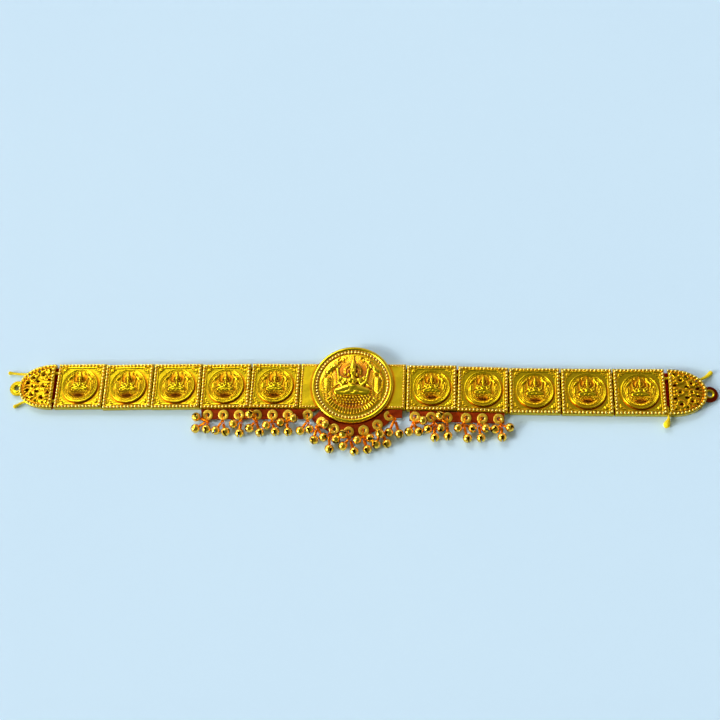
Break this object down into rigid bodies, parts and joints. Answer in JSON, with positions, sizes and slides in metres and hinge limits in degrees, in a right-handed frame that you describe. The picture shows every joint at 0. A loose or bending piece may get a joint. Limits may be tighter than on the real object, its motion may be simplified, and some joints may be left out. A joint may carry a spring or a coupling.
{
  "type": "waist belt",
  "caption": "Gilt temple-style waist belt of linked square plates with a large round centre medallion, pierced end pieces with eyelets, and a fringe of small round bells",
  "frame": {"origin": "on the table, under the middle of the centre plate, which is the middle of the felt's back face there", "axes": "+X along the belt to its right-hand end as worn face outwards and seen from the front, +Y to its upper edge, +Z out of its face"},
  "size_m": [0.6514, 0.1044, 0.0158],
  "materials": {
    "gilt": "stamped and gilt brass, polished",
    "bright_gilt": "gilt brass, mirror-polished",
    "lacquered_strip": "thin brass strip lacquered dark red-brown, with gilt washers",
    "felt": "dark red felt",
    "cord": "yellow twisted cord with melted ends"
  },
  "bodies": {
    "root": {"backing": "felt", "end_left": "gilt", "end_right": "gilt", "centre_plate": "gilt", "centre_medallion": "bright_gilt", "cord_upper": "cord", "cord_lower": "cord", "fringe_left": "lacquered_strip", "fringe_centre": "lacquered_strip", "fringe_right": "lacquered_strip", "plate_1": "gilt", "plate_2": "gilt", "plate_3": "gilt", "plate_4": "gilt", "plate_5": "gilt", "plate_6": "gilt", "plate_7": "gilt", "plate_8": "gilt", "plate_9": "gilt", "plate_10": "gilt", "drop_1": "bright_gilt", "drop_2": "bright_gilt", "drop_3": "bright_gilt", "drop_4": "bright_gilt", "drop_5": "bright_gilt", "drop_6": "bright_gilt", "drop_7": "bright_gilt", "drop_8": "bright_gilt", "drop_9": "bright_gilt", "drop_10": "bright_gilt", "drop_11": "bright_gilt", "drop_12": "bright_gilt", "drop_13": "bright_gilt", "drop_14": "bright_gilt", "drop_15": "bright_gilt", "drop_16": "bright_gilt", "drop_17": "bright_gilt", "drop_18": "bright_gilt", "drop_19": "bright_gilt"}
  },
  "joints": []
}
